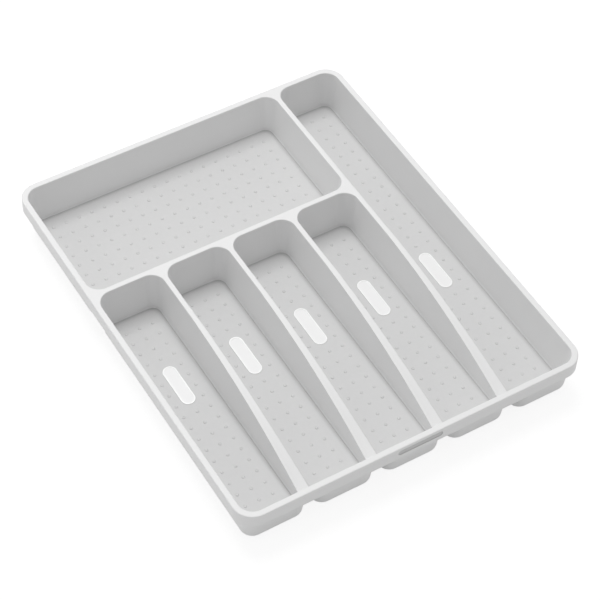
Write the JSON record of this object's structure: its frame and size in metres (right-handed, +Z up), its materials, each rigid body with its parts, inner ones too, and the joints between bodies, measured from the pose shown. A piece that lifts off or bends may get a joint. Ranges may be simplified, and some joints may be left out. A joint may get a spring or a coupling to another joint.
{
  "type": "cutlery tray",
  "caption": "Shallow drawer tray with a turned-down rim, drafted compartments with soft-grip liners, and dividers that sink towards the front for reaching the cutlery.",
  "frame": {"origin": "on the resting plane, under the middle of the tray's outline", "axes": "+X to the right along the front edge, +Y to the back along the columns, +Z up"},
  "size_m": [0.327, 0.403, 0.043],
  "materials": {
    "shell_plastic": "white injection-moulded plastic with a fine satin texture",
    "grip_rubber": "light grey matte soft-grip elastomer with low round bumps",
    "plate_plastic": "white semi-gloss plastic with a raised bead",
    "badge_rubber": "grey matte soft-grip elastomer, bare",
    "foot_rubber": "grey matte rubber"
  },
  "bodies": {
    "root": {"tray_shell": "shell_plastic", "liner_column_1": "grip_rubber", "liner_column_2": "grip_rubber", "liner_column_3": "grip_rubber", "liner_column_4": "grip_rubber", "liner_column_5": "grip_rubber", "liner_wide": "grip_rubber", "plate_column_1": "plate_plastic", "plate_column_2": "plate_plastic", "plate_column_3": "plate_plastic", "plate_column_4": "plate_plastic", "plate_column_5": "plate_plastic", "front_badge": "badge_rubber", "foot_front_left": "foot_rubber", "foot_front_right": "foot_rubber", "foot_back_left": "foot_rubber", "foot_back_right": "foot_rubber"}
  },
  "joints": []
}
